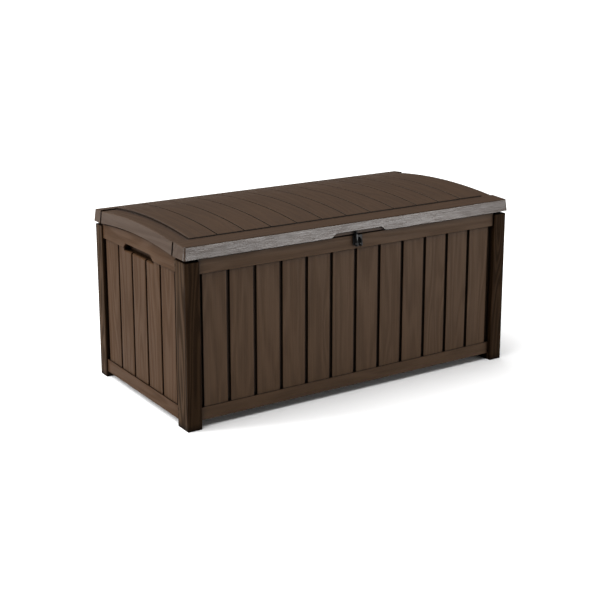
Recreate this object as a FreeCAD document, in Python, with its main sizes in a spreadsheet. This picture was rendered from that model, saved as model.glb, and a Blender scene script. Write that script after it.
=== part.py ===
"""Deck storage box: slatted resin panels, arched lid on rear hinges, two gas struts.

Millimetres.  X runs along the length, -Y is the front, +Z is up.  The origin is the
centre of the footprint, on the ground under the feet.
"""
import FreeCAD
import Part
import Sketcher
import math
import os
import re

from FreeCAD import Placement, Rotation, Vector

doc = FreeCAD.newDocument("deck_storage_box")

# ---------------------------------------------------------------- driving dimensions
SIZES = [
    # overall
    ("lid_half_length", 640), ("lid_half_depth", 325), ("overhang", 4),
    ("body_top", 541), ("lid_bottom", 545), ("wall", 3),
    # corner posts
    ("post_width", 50), ("front_post_depth", 68), ("rear_post_depth", 48), ("post_top", 536),
    # front and rear panels, measured back from the post faces
    ("long_rail_recess", 9), ("long_foot_recess", 14), ("long_slat_recess", 16),
    ("long_groove_floor", 25), ("long_thickness", 28), ("long_pitch", 96), ("long_slats", 12),
    ("groove_width", 12), ("rail_bottom", 24), ("slat_bottom", 66), ("slat_top", 494),
    ("tongue_depth", 10), ("tongue_thickness", 8), ("tongue_setback", 14),
    # side panels
    ("side_rail_recess", 5), ("side_slat_recess", 8), ("side_groove_floor", 20),
    ("side_thickness", 28), ("side_pitch", 100.4), ("side_slats", 5), ("side_groove_width", 10),
    ("side_rail_bottom", 20), ("side_slat_bottom", 64), ("side_arch_rise", 16),
    ("side_rib_gap", 41), ("strut_band", 25),
    ("grip_centre", 10), ("grip_half_wide", 107), ("grip_half_narrow", 89), ("grip_top", 511),
    ("grip_sill", 486), ("grip_depth", 22),
    # lid
    ("lid_draft", 4), ("rail_edge", 585.5), ("rail_inner", 589.5), ("front_rail_line", 251),
    ("rear_rail_line", 275), ("seam_width", 5), ("seam_floor", 583), ("end_plank_edge", 586),
    ("arch_rise", 15.5), ("field_rise", 7.5), ("field_half_length", 582), ("plank_pitch", 97),
    ("plank_groove", 4), ("plank_groove_depth", 4), ("lid_inner", 580),
    ("end_band", 40), ("end_groove", 9), ("end_groove_depth", 8),
    ("scoop_half_wide", 109.5), ("scoop_half_narrow", 90), ("scoop_top", 558), ("scoop_depth", 12),
    ("liner_bottom", 556), ("liner_plate", 3.5), ("liner_half_length", 598),
    ("liner_half_depth", 313),
    # floor
    ("floor_bottom", 34), ("floor_top", 46), ("floor_skin", 4), ("ledge_height", 6),
    ("ledge_depth", 8),
    # hinges
    ("hinge_y", 319), ("hinge_z", 538.5), ("barrel_radius", 6), ("pin_radius", 3),
    ("hinge_fit", 0.05), ("hinge_half", 35), ("knuckle_half", 12.5), ("hinge_leaf", 3),
    ("hinge_spacing", 420),
    # gas struts
    ("strut_x", 588), ("strut_low_y", 100), ("strut_low_z", 395), ("strut_high_y", 264),
    ("strut_high_z", 543), ("tube_radius", 9), ("rod_radius", 4), ("ball_radius", 5),
    ("socket_radius", 8), ("ball_fit", 0.06), ("strut_gap", 0.4), ("bracket_plate", 3),
    # lock
    ("lock_half_width", 18), ("lock_bottom", 503), ("lock_plate", 3), ("lock_hole_radius", 4),
    ("lock_hole_z", 512), ("lock_reach", 15),
]


def make_sheet():
    """Spreadsheet of the driving dimensions, one alias a row."""
    table = doc.addObject("Spreadsheet::Sheet", "Sizes")
    for row, (alias, size) in enumerate(SIZES, start=1):
        table.set("A%d" % row, alias)
        table.set("B%d" % row, str(size))
        table.setAlias("B%d" % row, alias)
    doc.recompute()
    return table


sheet = make_sheet()
ALIASES = {alias for alias, _ in SIZES}


def bound(text):
    """Expression text with each dimension's name pointing at its spreadsheet cell."""
    return re.sub(r"[a-z][a-z_]*", lambda m: "Sizes." + m.group(0) if m.group(0) in ALIASES
                  else m.group(0), str(text))


def size(text):
    """Present value of an expression of dimension names."""
    return float(doc.Sizes.evalExpression(bound(text).replace("Sizes.", "")))


# ---------------------------------------------------------------- modelling helpers
def new_body(label):
    body = doc.addObject("PartDesign::Body", label)
    body.Label = label
    return body


def new_sketch(body, name, role, offset="0"):
    """Sketch on one of the body's own origin planes, moved along the plane's normal."""
    sketch = body.newObject("Sketcher::SketchObject", name)
    plane = [f for f in body.Origin.OriginFeatures if f.Role == role][0]
    sketch.AttachmentSupport = (plane, [""])
    sketch.MapMode = "FlatFace"
    sketch.setExpression("AttachmentOffset.Base.z", bound(offset))
    return sketch


def pin_point(sketch, edge, end, across, up):
    """Ties a point of the sketch to the origin by two driven distances."""
    for kind, text in (("DistanceX", across), ("DistanceY", up)):
        if abs(size(text)) < 1e-9:
            axis = -2 if kind == "DistanceX" else -1
            sketch.addConstraint(Sketcher.Constraint("PointOnObject", edge, end, axis))
            continue
        index = sketch.addConstraint(Sketcher.Constraint(kind, -1, 1, edge, end, size(text)))
        sketch.setExpression("Constraints[%d]" % index, bound(text))


def outline(sketch, corners):
    """Closed outline.  A corner is (across, up), and (across, up, radius) starts an
    upward-bulging arc of that radius to the next corner."""
    first = sketch.GeometryCount
    count = len(corners)
    points = [Vector(size(c[0]), size(c[1]), 0) for c in corners]
    start_end = []
    for i, corner in enumerate(corners):
        here = points[i]
        there = points[(i + 1) % count]
        if len(corner) == 2:
            sketch.addGeometry(Part.LineSegment(here, there), False)
            start_end.append((1, 2))
            continue
        radius = size(corner[2])
        middle = (here + there) * 0.5
        chord = there - here
        drop = math.sqrt(radius ** 2 - (chord.Length / 2) ** 2)
        side = Vector(-chord.y, chord.x, 0).normalize()
        if side.y > 0:
            side = side * -1
        centre = middle + side * drop
        right, left = (here, there) if here.x > there.x else (there, here)
        angles = [math.atan2(p.y - centre.y, p.x - centre.x) for p in (right, left)]
        circle = Part.Circle(centre, Vector(0, 0, 1), radius)
        sketch.addGeometry(Part.ArcOfCircle(circle, angles[0], angles[1]), False)
        start_end.append((1, 2) if right is here else (2, 1))
    for i in range(count):
        j = (i + 1) % count
        sketch.addConstraint(Sketcher.Constraint(
            "Coincident", first + i, start_end[i][1], first + j, start_end[j][0]))
    for i, corner in enumerate(corners):
        pin_point(sketch, first + i, start_end[i][0], corner[0], corner[1])
        if len(corner) == 3:
            index = sketch.addConstraint(
                Sketcher.Constraint("Radius", first + i, size(corner[2])))
            sketch.setExpression("Constraints[%d]" % index, bound(corner[2]))


def rectangle(sketch, left, right, low, high):
    outline(sketch, [(left, low), (right, low), (right, high), (left, high)])


def circle(sketch, across, up, radius):
    index = sketch.addGeometry(
        Part.Circle(Vector(size(across), size(up), 0), Vector(0, 0, 1), size(radius)), False)
    pin_point(sketch, index, 3, across, up)
    ring = sketch.addConstraint(Sketcher.Constraint("Radius", index, size(radius)))
    sketch.setExpression("Constraints[%d]" % ring, bound(radius))


def pad(body, sketch, length, reverse=False, midplane=False):
    feature = body.newObject("PartDesign::Pad", sketch.Name + "_pad")
    feature.Profile = sketch
    feature.setExpression("Length", bound(length))
    feature.Reversed = reverse
    feature.Midplane = midplane
    doc.recompute()
    return feature


def pocket(body, sketch, length, reverse=False, midplane=False):
    """Pocket that has to remove something: one that points away cuts nothing."""
    before = body.Shape.Volume
    feature = body.newObject("PartDesign::Pocket", sketch.Name + "_cut")
    feature.Profile = sketch
    feature.setExpression("Length", bound(length))
    feature.Reversed = reverse
    feature.Midplane = midplane
    doc.recompute()
    if not body.Shape.Volume < before - 1:
        raise ValueError("%s removed nothing from %s" % (feature.Name, body.Label))
    return feature


def repeat(body, feature, sketch, axis, count, reach):
    """Linear pattern of a feature along one of its sketch's axes."""
    pattern = body.newObject("PartDesign::LinearPattern", feature.Name + "_row")
    pattern.Originals = [feature]
    pattern.Direction = (sketch, [axis])
    pattern.setExpression("Occurrences", bound(count))
    pattern.setExpression("Length", bound(reach))
    body.Tip = pattern
    doc.recompute()
    return pattern


def edge_names(shape, wanted):
    """Names of the edges whose middle point and length satisfy a test."""
    names = []
    for index, edge in enumerate(shape.Edges, start=1):
        middle = edge.valueAt((edge.FirstParameter + edge.LastParameter) / 2)
        if wanted(middle, edge):
            names.append("Edge%d" % index)
    return names


def round_edges(body, radius, wanted):
    """Fillets the edges that a test picks out."""
    base = body.Tip
    names = edge_names(base.Shape, wanted)
    if not names:
        raise ValueError("no edge to round on %s" % body.Label)
    fillet = body.newObject("PartDesign::Fillet", base.Name + "_round")
    fillet.Base = (base, names)
    fillet.Radius = radius
    doc.recompute()
    return fillet


def mirrored(source):
    """The right-hand copy of a left-hand piece, across the middle of the length."""
    copy = doc.addObject("Part::Mirroring", source.Label.replace("left", "right"))
    copy.Label = source.Label.replace("left", "right")
    copy.Source = source
    copy.Base = Vector(0, 0, 0)
    copy.Normal = Vector(1, 0, 0)
    return copy


def near(a, b, slack=0.2):
    return abs(a - b) < slack


def upright(edge):
    """True for a straight vertical edge."""
    first, last = edge.Vertexes[0].Point, edge.Vertexes[-1].Point
    return near(first.x, last.x) and near(first.y, last.y)


# ---------------------------------------------------------------- front and rear panels
BODY_X = "(lid_half_length - overhang)"
BODY_Y = "(lid_half_depth - overhang)"
PANEL_HALF = "(%s - post_width)" % BODY_X
LONG_FACE = "(%s - long_rail_recess)" % BODY_Y
LONG_INSIDE = "(%s - long_thickness)" % LONG_FACE
LONG_SLAT = "(%s - long_slat_recess)" % BODY_Y
FIELD_HALF = "(long_slats * long_pitch / 2 - groove_width / 2)"
SLAT_HEIGHT = "(slat_top - slat_bottom)"
EASE = 1.6


def groove_section(sketch, middle, half, mouth, floor, ease):
    """Groove in plan with eased lips, open towards -Y past the mouth."""
    outline(sketch, [
        ("%s - %s - %s" % (middle, half, ease), "0 - %s - 1" % mouth),
        ("%s - %s - %s" % (middle, half, ease), "0 - %s" % mouth),
        ("%s - %s - %s / 4" % (middle, half, ease), "0 - %s + %s / 4" % (mouth, ease)),
        ("%s - %s" % (middle, half), "0 - %s + %s" % (mouth, ease)),
        ("%s - %s" % (middle, half), "0 - %s" % floor),
        ("%s + %s" % (middle, half), "0 - %s" % floor),
        ("%s + %s" % (middle, half), "0 - %s + %s" % (mouth, ease)),
        ("%s + %s + %s / 4" % (middle, half, ease), "0 - %s + %s / 4" % (mouth, ease)),
        ("%s + %s + %s" % (middle, half, ease), "0 - %s" % mouth),
        ("%s + %s + %s" % (middle, half, ease), "0 - %s - 1" % mouth),
    ])


def long_panel(label):
    """Panel between two corner posts: top rail, slat field, foot rail, ribbed inside."""
    body = new_body(label)
    slab = new_sketch(body, label + "_slab", "XZ_Plane", LONG_INSIDE)
    rectangle(slab, "0 - " + PANEL_HALF, PANEL_HALF, "rail_bottom", "body_top")
    pad(body, slab, "long_thickness")

    tongues = new_sketch(body, label + "_tongues", "XZ_Plane",
                         "%s - tongue_setback - tongue_thickness" % LONG_FACE)
    for side in ("-1", "1"):
        rectangle(tongues, "%s * %s" % (side, PANEL_HALF),
                  "%s * (%s + tongue_depth)" % (side, PANEL_HALF), "rail_bottom + 10", "post_top - 10")
    pad(body, tongues, "tongue_thickness")

    ledge = new_sketch(body, label + "_ledge", "XZ_Plane", "%s - ledge_depth" % LONG_INSIDE)
    rectangle(ledge, "20 - " + PANEL_HALF, PANEL_HALF + " - 20",
              "floor_bottom - ledge_height", "floor_bottom")
    pad(body, ledge, "ledge_depth")

    field = new_sketch(body, label + "_field", "XZ_Plane", LONG_FACE)
    rectangle(field, "0 - " + PANEL_HALF, PANEL_HALF, "slat_bottom", "slat_top")
    pocket(body, field, "long_slat_recess - long_rail_recess")
    foot = new_sketch(body, label + "_foot", "XZ_Plane", LONG_FACE)
    rectangle(foot, "0 - " + PANEL_HALF, PANEL_HALF, "rail_bottom", "slat_bottom")
    pocket(body, foot, "long_foot_recess - long_rail_recess")

    ends = new_sketch(body, label + "_end_gaps", "XY_Plane", "slat_bottom")
    for side in ("-1", "1"):
        outline(ends, [
            ("%s * (%s - %s)" % (side, FIELD_HALF, EASE), "0 - %s - 1" % LONG_SLAT),
            ("%s * (%s - %s)" % (side, FIELD_HALF, EASE), "0 - %s" % LONG_SLAT),
            ("%s * (%s - %s / 4)" % (side, FIELD_HALF, EASE), "%s / 4 - %s" % (EASE, LONG_SLAT)),
            ("%s * %s" % (side, FIELD_HALF), "%s - %s" % (EASE, LONG_SLAT)),
            ("%s * %s" % (side, FIELD_HALF), "long_groove_floor - " + BODY_Y),
            ("%s * %s" % (side, PANEL_HALF), "long_groove_floor - " + BODY_Y),
            ("%s * %s" % (side, PANEL_HALF), "0 - %s - 1" % LONG_SLAT),
        ])
    pocket(body, ends, SLAT_HEIGHT, reverse=True)

    groove = new_sketch(body, label + "_groove", "XY_Plane", "slat_bottom")
    groove_section(groove, "(1 - long_slats / 2) * long_pitch", "groove_width / 2", LONG_SLAT,
                   "(%s - long_groove_floor)" % BODY_Y, EASE)
    cut = pocket(body, groove, SLAT_HEIGHT, reverse=True)
    repeat(body, cut, groove, "H_Axis", "long_slats - 1", "(long_slats - 2) * long_pitch")

    back = new_sketch(body, label + "_back", "XZ_Plane", LONG_INSIDE)
    rectangle(back, "(0.5 - long_slats / 2) * long_pitch - 38", "(0.5 - long_slats / 2) * long_pitch + 38",
              "slat_bottom + 6", "slat_top - 6")
    hollow = pocket(body, back, "long_thickness - long_slat_recess + long_rail_recess - wall - 1",
                    reverse=True)
    repeat(body, hollow, back, "H_Axis", "long_slats", "(long_slats - 1) * long_pitch")

    rails = new_sketch(body, label + "_rail_back", "XZ_Plane", LONG_INSIDE)
    rectangle(rails, "10 - " + PANEL_HALF, PANEL_HALF + " - 10", "slat_top", "body_top - wall")
    pocket(body, rails, "long_thickness - 6", reverse=True)

    face = -size(LONG_FACE)
    top = size("body_top")
    low = size("slat_top")
    round_edges(body, 2.0, lambda m, e: near(m.y, face) and e.Length > 500
                and (near(m.z, top) or near(m.z, low)))
    foot_face = size("long_foot_recess - " + BODY_Y)
    round_edges(body, 1.5, lambda m, e: near(m.y, foot_face) and near(m.z, size("rail_bottom"))
                and e.Length > 500)
    return body


# ---------------------------------------------------------------- side panels
SIDE_RAIL = "(%s - side_rail_recess)" % BODY_X
SIDE_INSIDE = "(%s - side_thickness)" % SIDE_RAIL
SIDE_SLAT = "(%s - side_slat_recess)" % BODY_X
FRONT_LINE = "(front_post_depth - %s)" % BODY_Y
REAR_LINE = "(%s - rear_post_depth)" % BODY_Y
SIDE_MIDDLE = "((%s + %s) / 2)" % (FRONT_LINE, REAR_LINE)
SIDE_CHORD = "((%s - %s) / 2)" % (REAR_LINE, FRONT_LINE)
SIDE_RADIUS = "((%s ^ 2 + side_arch_rise ^ 2) / (2 * side_arch_rise))" % SIDE_CHORD
SIDE_FIELD = "(side_slats * side_pitch / 2 - side_groove_width / 2)"


def side_posts(body):
    """The two hollow corner posts of the left side panel, open under the feet."""
    plan = new_sketch(body, "side_posts", "XY_Plane")
    rectangle(plan, "0 - " + BODY_X, "post_width - " + BODY_X, "0 - " + BODY_Y, FRONT_LINE)
    rectangle(plan, "0 - " + BODY_X, "post_width - " + BODY_X, REAR_LINE, BODY_Y)
    pad(body, plan, "post_top")
    round_edges(body, 3.0, lambda m, e: upright(e) and e.Length > 100)
    round_edges(body, 2.0, lambda m, e: near(m.z, 0) or near(m.z, size("post_top")))
    core = new_sketch(body, "side_post_cores", "XY_Plane")
    for low, high in (("0 - " + BODY_Y, FRONT_LINE), (REAR_LINE, BODY_Y)):
        rectangle(core, "wall + 1 - " + BODY_X, "post_width - wall - 1 - " + BODY_X,
                  low + " + wall + 1", high + " - wall - 1")
    pocket(body, core, "post_top - wall - 2", reverse=True)
    slots = new_sketch(body, "side_slots", "XY_Plane", "rail_bottom + 9.5")
    for sign in ("-1", "1"):
        rectangle(slots, "post_width - tongue_depth - 0.5 - " + BODY_X, "post_width + 1 - " + BODY_X,
                  "%s * (%s - tongue_setback + 0.3)" % (sign, LONG_FACE),
                  "%s * (%s - tongue_setback - tongue_thickness - 0.3)" % (sign, LONG_FACE))
    pocket(body, slots, "post_top - rail_bottom - 19", reverse=True)


def side_web(body):
    """Arched rail, slats and foot rail between the posts."""
    web = new_sketch(body, "side_web", "YZ_Plane", "0 - " + SIDE_RAIL)
    outline(web, [
        (FRONT_LINE + " - 1", "side_rail_bottom"), (REAR_LINE + " + 1", "side_rail_bottom"),
        (REAR_LINE + " + 1", "body_top"), (REAR_LINE, "body_top", SIDE_RADIUS),
        (FRONT_LINE, "body_top"), (FRONT_LINE + " - 1", "body_top"),
    ])
    pad(body, web, "side_thickness")
    rail = -size(SIDE_RAIL)
    round_edges(body, 2.5, lambda m, e: near(m.x, rail) and m.z > size("body_top") + 8)
    field = new_sketch(body, "side_field", "YZ_Plane", "0 - " + SIDE_RAIL)
    rectangle(field, FRONT_LINE, REAR_LINE, "side_slat_bottom", "slat_top")
    pocket(body, field, "side_slat_recess - side_rail_recess", reverse=True)


def side_grooves(body):
    """Grooves between the slats, and a wider gap beside each post."""
    groove = new_sketch(body, "side_groove", "XY_Plane", "side_slat_bottom")
    first = "(%s + (1 - side_slats / 2) * side_pitch)" % SIDE_MIDDLE
    half = "side_groove_width / 2"
    floor = "side_groove_floor - " + BODY_X
    face = "0 - " + SIDE_SLAT
    outline(groove, [
        (face + " - 1", "%s - %s - %s" % (first, half, EASE)), (face, "%s - %s - %s" % (first, half, EASE)),
        ("%s + %s" % (face, EASE), "%s - %s" % (first, half)), (floor, "%s - %s" % (first, half)),
        (floor, "%s + %s" % (first, half)), ("%s + %s" % (face, EASE), "%s + %s" % (first, half)),
        (face, "%s + %s + %s" % (first, half, EASE)), (face + " - 1", "%s + %s + %s" % (first, half, EASE)),
    ])
    cut = pocket(body, groove, "slat_top - side_slat_bottom", reverse=True)
    repeat(body, cut, groove, "V_Axis", "side_slats - 1", "(side_slats - 2) * side_pitch")
    gaps = new_sketch(body, "side_end_gaps", "XY_Plane", "side_slat_bottom")
    rectangle(gaps, face + " - 1", floor, FRONT_LINE, "%s - %s" % (SIDE_MIDDLE, SIDE_FIELD))
    rectangle(gaps, face + " - 1", floor, "%s + %s" % (SIDE_MIDDLE, SIDE_FIELD), REAR_LINE)
    pocket(body, gaps, "slat_top - side_slat_bottom", reverse=True)


def side_grip(body):
    """Finger hollow cut up into the rail and down behind the slat tops."""
    grip = new_sketch(body, "side_grip", "YZ_Plane", "0 - " + SIDE_RAIL)
    wide = "grip_half_wide"
    narrow = "grip_half_narrow"
    outline(grip, [
        ("grip_centre - " + wide, "grip_sill"), ("grip_centre + " + wide, "grip_sill"),
        ("grip_centre + " + wide, "slat_top"), ("grip_centre + " + narrow, "grip_top"),
        ("grip_centre - " + narrow, "grip_top"), ("grip_centre - " + wide, "slat_top"),
    ])
    pocket(body, grip, "grip_depth", reverse=True)
    face = -size(SIDE_SLAT)
    sill = size("grip_sill")
    round_edges(body, 5.0, lambda m, e: near(m.x, face) and near(m.z, sill) and e.Length > 20)


def side_inside(body):
    """Recesses between the ribs of the inner face, above and below the band that holds the strut."""
    for name, low, high in (("side_inside_low", "side_slat_bottom + 8", "strut_low_z - strut_band"),
                            ("side_inside_high", "strut_low_z + strut_band", "grip_sill - 12")):
        ribs = new_sketch(body, name, "YZ_Plane", "0 - " + SIDE_INSIDE)
        first = "%s + (0.5 - side_slats / 2) * side_pitch" % SIDE_MIDDLE
        rectangle(ribs, first + " - side_rib_gap", first + " + side_rib_gap", low, high)
        cut = pocket(body, ribs, "side_thickness + side_rail_recess - side_slat_recess - 2 * wall")
        repeat(body, cut, ribs, "H_Axis", "side_slats", "(side_slats - 1) * side_pitch")


def zone(label, body, front, back, low, high):
    """The part of the side moulding that lies in one zone of depth and height."""
    piece = doc.addObject("Part::Common", label)
    piece.Base = body
    piece.Tool = block(label + "_zone", "0 - %s - 1" % BODY_X, "1 - " + BODY_X + " + post_width",
                       front, back, low, high)
    piece.Label = label
    return piece


def side_panels():
    """Posts, slatted web and the arched rail round the grip, then their right-hand copies."""
    whole = new_body("left_side_moulding")
    side_posts(whole)
    side_web(whole)
    side_grooves(whole)
    side_grip(whole)
    side_inside(whole)
    top = "body_top + side_arch_rise + 1"
    grip_front = "(grip_centre - grip_half_narrow)"
    grip_rear = "(grip_centre + grip_half_narrow)"
    pieces = [
        zone("left_front_post", whole, "0 - %s - 1" % BODY_Y, FRONT_LINE, "0 - 1", "post_top"),
        zone("left_rear_post", whole, REAR_LINE, BODY_Y + " + 1", "0 - 1", "post_top"),
        zone("left_side_panel", whole, FRONT_LINE, REAR_LINE, "0 - 1", "grip_sill"),
        zone("left_rail_front", whole, FRONT_LINE, grip_front, "grip_sill", top),
        zone("left_grip_back", whole, grip_front, grip_rear, "grip_sill", "grip_top"),
        zone("left_grip_top", whole, grip_front, grip_rear, "grip_top", top),
        zone("left_rail_rear", whole, grip_rear, REAR_LINE, "grip_sill", top),
    ]
    return pieces + [mirrored(piece) for piece in pieces]


# ---------------------------------------------------------------- floor
def floor_half(label, turn):
    """Half of the floor: a skin on a grid of ribs, notched round the corner posts."""
    body = new_body(label)
    depth = "(%s - 1)" % LONG_INSIDE
    plate = new_sketch(body, label + "_plate", "XY_Plane", "floor_bottom")
    rectangle(plate, "2", SIDE_INSIDE + " - 1", "0 - " + depth, depth)
    pad(body, plate, "floor_top - floor_bottom")
    cells = new_sketch(body, label + "_cells", "XY_Plane", "floor_bottom")
    rows = 5
    columns = 6
    for row in range(rows):
        for column in range(columns):
            across = "(2 + %d * (%s - 3) / %d" % (column, SIDE_INSIDE, columns)
            upward = "(0 - %s + %d * 2 * %s / %d" % (depth, row, depth, rows)
            rectangle(cells, across + " + 3)", across + " + (%s - 3) / %d - 3)" % (SIDE_INSIDE, columns),
                      upward + " + 3)", upward + " + 2 * %s / %d - 3)" % (depth, rows))
    pocket(body, cells, "floor_top - floor_bottom - floor_skin", reverse=True)
    notches = new_sketch(body, label + "_notches", "XY_Plane", "floor_bottom")
    for sign in ("-1", "1"):
        rectangle(notches, PANEL_HALF + " - 0.5", SIDE_INSIDE, sign + " * (0.0 - %s - 0.5)" % FRONT_LINE,
                  sign + " * " + LONG_INSIDE)
    pocket(body, notches, "floor_top - floor_bottom", reverse=True)
    body.Placement = Placement(Vector(0, 0, 0), Rotation(Vector(0, 0, 1), turn))
    return body


def floor_joint():
    """H-section strip that joins the two floor halves."""
    body = new_body("floor_joint_strip")
    section = new_sketch(body, "floor_joint_section", "XZ_Plane")
    outline(section, [
        ("0 - 25", "floor_bottom - 4"), ("25", "floor_bottom - 4"), ("25", "floor_bottom"),
        ("1.7", "floor_bottom"), ("1.7", "floor_top"), ("16", "floor_top"), ("16", "floor_top + 3"),
        ("0 - 16", "floor_top + 3"), ("0 - 16", "floor_top"), ("0 - 1.7", "floor_top"),
        ("0 - 1.7", "floor_bottom"), ("0 - 25", "floor_bottom"),
    ])
    pad(body, section, "2 * (%s - ledge_depth - 1)" % LONG_INSIDE, midplane=True)
    return body


# ---------------------------------------------------------------- lid
ARCH_HALF = "((rear_rail_line + front_rail_line) / 2 - seam_width)"
ARCH_RADIUS = "((%s ^ 2 + arch_rise ^ 2) / (2 * arch_rise))" % ARCH_HALF
ARCH_FRONT = "(seam_width - front_rail_line)"
ARCH_REAR = "(rear_rail_line - seam_width)"
FIELD_EDGE = "(end_plank_edge + field_rise)"
LID_SKIN = "5.5"


def arch_outline(sketch, front, rear, edge, floor, radius):
    """Flat-bottomed outline under one arch of the lid."""
    outline(sketch, [(front, floor), (rear, floor), (rear, edge, radius), (front, edge)])


def lid_draft_cut(body, name):
    """Leans both ends of the lid inwards towards the top."""
    draft = new_sketch(body, name, "XZ_Plane")
    for side in ("-1", "1"):
        outline(draft, [
            (side + " * lid_half_length", "lid_bottom"), (side + " * (lid_half_length + 1)", "lid_bottom"),
            (side + " * (lid_half_length + 1)", "lid_bottom + 80"),
            (side + " * (lid_half_length - 2 * lid_draft)", "lid_bottom + 80"),
        ])
    pocket(body, draft, "3 * lid_half_depth", midplane=True)


def lid_outside(body):
    """Arched core with the end planks, the two rails beside it, then the raised planks."""
    core = new_sketch(body, "lid_core", "YZ_Plane")
    arch_outline(core, ARCH_FRONT, ARCH_REAR, "end_plank_edge", "lid_bottom", ARCH_RADIUS)
    pad(body, core, "2 * lid_half_length", midplane=True)
    lid_draft_cut(body, "lid_core_draft")
    plank = size("end_plank_edge")
    round_edges(body, 2.0, lambda m, e: e.Length > 400 and m.z > plank and abs(m.x) > 600)

    rails = new_sketch(body, "lid_rails", "YZ_Plane")
    for sign, line, arch_end in (("-1", "0 - front_rail_line", ARCH_FRONT),
                                 ("1", "rear_rail_line", ARCH_REAR)):
        outline(rails, [
            (sign + " * lid_half_depth", "lid_bottom"), (arch_end, "lid_bottom"),
            (arch_end, "seam_floor"), (line, "seam_floor"), (line, "rail_inner"),
            (sign + " * (lid_half_depth - lid_draft)", "rail_edge"),
        ])
    pad(body, rails, "2 * lid_half_length", midplane=True)
    lid_draft_cut(body, "lid_rail_draft")
    corner_x = size("lid_half_length - 3 * lid_draft")
    corner_y = size("lid_half_depth - 2 * lid_draft")
    round_edges(body, 5.0, lambda m, e: abs(m.x) > corner_x and abs(m.y) > corner_y and e.Length < 60
                and m.z < size("rail_edge"))
    front = size("front_rail_line")
    round_edges(body, 2.5, lambda m, e: m.z > size("rail_edge") - 2 and abs(m.y) > front + 2
                and (abs(m.x) > corner_x or abs(m.y) > corner_y) and not near(abs(m.y), front, 1.0)
                and not near(abs(m.y), size("rear_rail_line"), 1.0))

    field = new_sketch(body, "lid_field", "YZ_Plane")
    arch_outline(field, "0 - front_rail_line", "rear_rail_line", FIELD_EDGE, "lid_bottom + 10",
                 "((((rear_rail_line + front_rail_line) / 2) ^ 2 + (arch_rise + 1) ^ 2)"
                 " / (2 * (arch_rise + 1)))")
    pad(body, field, "2 * field_half_length", midplane=True)
    edge = size(FIELD_EDGE)
    round_edges(body, 1.5, lambda m, e: m.z > edge - 0.5 and e.Length > 100)


def lid_hollow(body):
    """Cavity under the skin, and the arched lower edge of each end face."""
    inner = "(lid_half_depth - 2 * lid_draft)"
    cavity = new_sketch(body, "lid_cavity", "YZ_Plane")
    arch_low = "(end_plank_edge - %s)" % LID_SKIN
    outline(cavity, [
        ("0 - " + inner, "lid_bottom - 1"), (inner, "lid_bottom - 1"), (inner, "lid_inner"),
        (ARCH_REAR, "lid_inner"), (ARCH_REAR, arch_low, ARCH_RADIUS), (ARCH_FRONT, arch_low),
        (ARCH_FRONT, "lid_inner"), ("0 - " + inner, "lid_inner"),
    ])
    pocket(body, cavity, "2 * (lid_half_length - 2 * lid_draft)", midplane=True)
    under = new_sketch(body, "lid_under_field", "YZ_Plane")
    arch_outline(under, ARCH_FRONT, ARCH_REAR, arch_low + " + field_rise - 1", "lid_inner - 5", ARCH_RADIUS)
    pocket(body, under, "2 * (field_half_length - 5)", midplane=True)


def lid_end_faces(body):
    """Arched lower edge of each end, and the upright grooves beside the corner blocks."""
    stops = new_sketch(body, "lid_groove_backs", "XY_Plane", "lid_bottom")
    for side in ("-1", "1"):
        for line, sense in (("0 - front_rail_line", 1), ("rear_rail_line", -1)):
            rectangle(stops, side + " * (lid_half_length - 7)", side + " * (lid_half_length - 14)",
                      "%s - %d * 5" % (line, sense), "%s + %d * (end_groove + 5)" % (line, sense))
    pad(body, stops, "lid_inner - lid_bottom + 0.5")
    arch = new_sketch(body, "lid_end_arch", "YZ_Plane")
    low = "(end_plank_edge - end_band)"
    arch_outline(arch, "end_groove - front_rail_line", "rear_rail_line - end_groove", low,
                 "lid_bottom - 5", ARCH_RADIUS)
    pocket(body, arch, "2 * lid_half_length + 10", midplane=True)
    grooves = new_sketch(body, "lid_end_grooves", "XY_Plane", "lid_bottom - 1")
    for side in ("-1", "1"):
        for line, sense in (("0 - front_rail_line", 1), ("rear_rail_line", -1)):
            rectangle(grooves, side + " * (lid_half_length + 2)",
                      side + " * (lid_half_length - end_groove_depth - 2)",
                      line, "%s + %d * end_groove" % (line, sense))
    pocket(body, grooves, "60", reverse=True)


def lid_plank_grooves(body):
    """Narrow grooves across the arch between the raised planks."""
    groove = new_sketch(body, "lid_plank_groove", "YZ_Plane", "0 - 5 * plank_pitch - plank_groove / 2")
    floor = "(%s - plank_groove_depth)" % FIELD_EDGE
    outline(groove, [
        ("0 - front_rail_line - 1", floor + " + 40"), ("0 - front_rail_line - 1", floor, ARCH_RADIUS),
        ("rear_rail_line + 1", floor), ("rear_rail_line + 1", floor + " + 40"),
    ])
    cut = pocket(body, groove, "plank_groove", reverse=True)
    repeat(body, cut, groove, "N_Axis", "11", "10 * plank_pitch")
    lip = size(FIELD_EDGE)
    reach = size("5.2 * plank_pitch")
    round_edges(body, 1.2, lambda m, e: m.z > lip + 10 and abs(m.x) < reach and e.Length > 400
                and abs(m.z - size("end_plank_edge + field_rise + arch_rise + 1")) < 1.0)


def lid_scoop(body):
    """Finger scoop in the lower edge of the front rail, backed by a thick block."""
    block = new_sketch(body, "lid_scoop_block", "XZ_Plane", "lid_half_depth - scoop_depth - wall")
    rectangle(block, "0 - scoop_half_wide - 8", "scoop_half_wide + 8", "lid_bottom", "lid_inner + 0.5")
    pad(body, block, "scoop_depth - 2")
    scoop = new_sketch(body, "lid_scoop_cut", "XZ_Plane", "lid_half_depth - scoop_depth")
    outline(scoop, [
        ("0 - scoop_half_wide", "lid_bottom - 1"), ("scoop_half_wide", "lid_bottom - 1"),
        ("scoop_half_narrow", "scoop_top"), ("0 - scoop_half_narrow", "scoop_top"),
    ])
    pocket(body, scoop, "scoop_depth + 5", reverse=True)


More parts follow.
